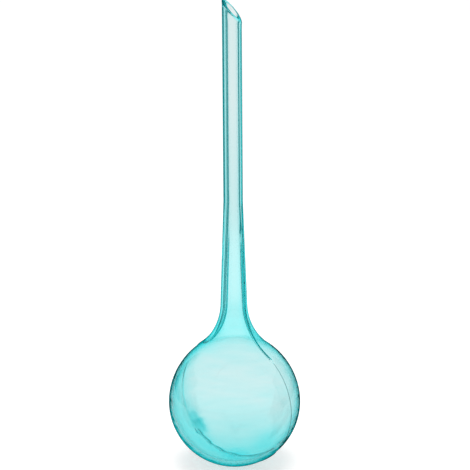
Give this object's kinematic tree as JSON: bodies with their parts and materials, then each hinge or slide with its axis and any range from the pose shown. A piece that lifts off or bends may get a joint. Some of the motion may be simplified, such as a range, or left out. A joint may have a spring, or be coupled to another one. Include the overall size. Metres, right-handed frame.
{
  "type": "watering globe",
  "caption": "Clear turquoise plastic globe with a long hollow stem and a slanted mouth, which waters a pot plant slowly through the soil.",
  "frame": {"origin": "on the stem's axis at the soil line, where the straight stem ends and the taper to the neck begins", "axes": "+Z along the stem towards the slanted mouth, +X in the mould's parting plane on the side of the mouth's low edge"},
  "size_m": [0.0752, 0.075, 0.2771],
  "materials": {
    "clear_turquoise_plastic": "clear tinted PVC, smooth and glossy, with a raised mould seam"
  },
  "bodies": {
    "root": {"globe": "clear_turquoise_plastic"}
  },
  "joints": []
}
